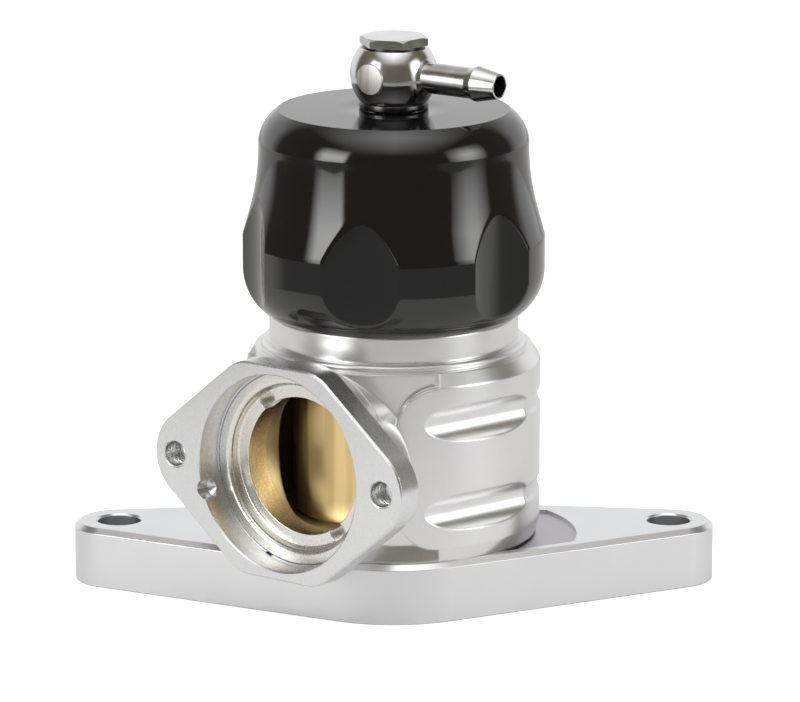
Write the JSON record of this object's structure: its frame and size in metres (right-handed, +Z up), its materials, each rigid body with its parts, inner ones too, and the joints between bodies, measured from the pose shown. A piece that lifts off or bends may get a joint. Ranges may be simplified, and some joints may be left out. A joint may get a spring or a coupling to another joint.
{
  "type": "blow off valve",
  "caption": "Piston blow off valve on a kite-shaped adapter flange, with a scalloped cap, a bolted side outlet and a banjo hose nipple on top.",
  "frame": {"origin": "valve axis at the underside of the adapter flange", "axes": "+Z up the valve axis towards the cap, X along the adapter's two bolt holes, outlet towards -X and -Y"},
  "size_m": [0.1282, 0.0779, 0.1116],
  "materials": {
    "anodised_silver": "satin clear anodised",
    "turned_silver": "fine turned",
    "anodised_black": "polished black anodised",
    "turned_brass": "turned and polished",
    "plated_steel": "bright nickel plated",
    "brushed_steel": "brushed",
    "screw_steel": "zinc plated",
    "spring_steel": "drawn, oiled",
    "seal_rubber": "moulded"
  },
  "bodies": {
    "valve": {"base_flange": "anodised_silver", "base_seal": "seal_rubber", "base_screws": "screw_steel", "valve_body": "anodised_silver", "outlet_flange": "anodised_silver", "outlet_seal": "seal_rubber", "outlet_ring": "turned_silver", "spring": "spring_steel", "upper_spring_seat": "screw_steel", "cap": "anodised_black", "cap_seal": "seal_rubber", "lower_banjo_washer": "plated_steel", "banjo_ring": "plated_steel", "hose_barb": "plated_steel", "banjo_plug": "brushed_steel", "upper_banjo_washer": "plated_steel", "banjo_bolt": "plated_steel"},
    "piston": {"piston": "turned_brass", "piston_seal_lower": "seal_rubber", "piston_seal_upper": "seal_rubber", "lower_spring_seat": "screw_steel"}
  },
  "joints": [
    {"name": "piston_slide", "type": "slide", "parent": "valve", "child": "piston", "axis": [0, 0, 1], "range_m": [0, 0.012], "stiffness_N_per_m": 1200, "springref_m": -0.02, "deforming": ["spring"]}
  ]
}
